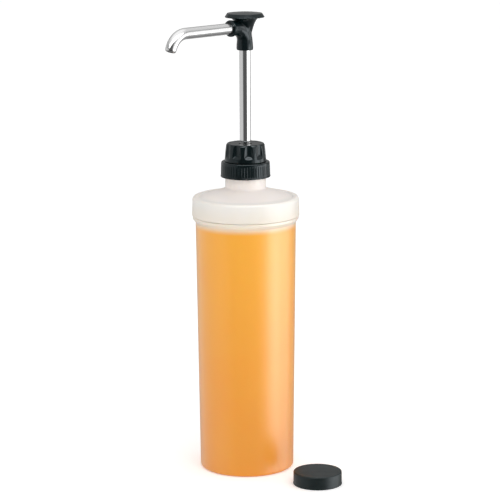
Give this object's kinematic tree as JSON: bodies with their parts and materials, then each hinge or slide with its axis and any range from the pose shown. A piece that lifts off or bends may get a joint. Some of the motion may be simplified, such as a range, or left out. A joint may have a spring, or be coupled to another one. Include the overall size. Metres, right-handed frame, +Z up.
{
  "type": "condiment pump dispenser",
  "caption": "Tall translucent round jar with a push-on lid, a screw-on hand pump with a bent steel spout and a round push button, and a separate screw cap.",
  "frame": {"origin": "centre of the jar's flat base", "axes": "+Z up along the jar's and the pump's axis; the spout points to -Y; the loose storage cap stands on the +X side"},
  "size_m": [0.1501, 0.1366, 0.397],
  "materials": {
    "jar_plastic": "satin translucent polyethylene, seen with orange sauce behind it",
    "lid_plastic": "satin translucent polyethylene",
    "natural_plastic": "satin",
    "black_gloss": "gloss",
    "black_satin": "satin",
    "polished_steel": "polished stainless steel",
    "spring_steel": "drawn wire",
    "rubber": "matte",
    "foam": "matte foamed liner"
  },
  "bodies": {
    "jar": {"jar": "jar_plastic"},
    "lid": {"jar_lid": "lid_plastic", "lid_gasket": "foam", "neck_gasket": "foam"},
    "pump_barrel": {"pump_cylinder": "natural_plastic", "foot_valve_seat": "natural_plastic", "spring_seat": "natural_plastic", "return_spring": "spring_steel", "dip_tube": "natural_plastic"},
    "closure": {"closure_ring": "black_gloss"},
    "guide": {"guide_bushing": "natural_plastic", "rod_wiper": "rubber"},
    "collar": {"lock_collar": "black_gloss"},
    "spring_carriage": {"spring_washer": "polished_steel"},
    "plunger": {"piston": "natural_plastic", "piston_seal": "rubber", "outlet_ball_retainer": "natural_plastic", "plunger_tube": "polished_steel", "pump_head": "black_gloss", "head_tube_seal": "rubber", "spout_tube": "polished_steel", "spout_seal": "rubber"},
    "lower_valve": {"inlet_ball": "polished_steel"},
    "upper_valve": {"outlet_ball": "polished_steel"},
    "spare_cap": {"storage_cap": "black_satin", "storage_cap_liner": "foam"}
  },
  "joints": [
    {"name": "lid_lift", "type": "slide", "parent": "jar", "child": "lid", "axis": [0, 0, 1], "range_m": [0, 0.25]},
    {"name": "pump_rise", "type": "slide", "parent": "lid", "child": "pump_barrel", "axis": [0, 0, 1], "range_m": [0, 0.00634]},
    {"name": "closure_turn", "type": "hinge", "parent": "pump_barrel", "child": "closure", "pos_m": [0, 0, 0.263], "axis": [0, 0, 1], "range_deg": [0, 540]},
    {"name": "guide_rise", "type": "slide", "parent": "pump_barrel", "child": "guide", "axis": [0, 0, 1], "range_m": [0, 0.00449]},
    {"name": "collar_turn", "type": "hinge", "parent": "guide", "child": "collar", "pos_m": [0, 0, 0.277], "axis": [0, 0, 1], "range_deg": [0, 540]},
    {"name": "pump_stroke", "type": "slide", "parent": "pump_barrel", "child": "spring_carriage", "axis": [0, 0, -1], "range_m": [0, 0.064], "stiffness_N_per_m": 300, "springref_m": -0.04, "deforming": ["return_spring"]},
    {"name": "spout_swivel", "type": "hinge", "parent": "spring_carriage", "child": "plunger", "pos_m": [0, 0, 0.38], "axis": [0, 0, 1], "continuous": true},
    {"name": "inlet_ball_lift", "type": "slide", "parent": "pump_barrel", "child": "lower_valve", "axis": [0, 0, 1], "range_m": [0, 0.002]},
    {"name": "outlet_ball_lift", "type": "slide", "parent": "plunger", "child": "upper_valve", "axis": [0, 0, 1], "range_m": [0, 0.0015]},
    {"name": "cap_lift", "type": "slide", "parent": "jar", "child": "spare_cap", "axis": [0, 0, 1], "range_m": [0, 0.1]}
  ],
  "couplings": [
    {"joint": "closure_turn", "follows": "pump_rise", "rad_per_m": 1484.2},
    {"joint": "collar_turn", "follows": "guide_rise", "rad_per_m": 2094.4}
  ]
}
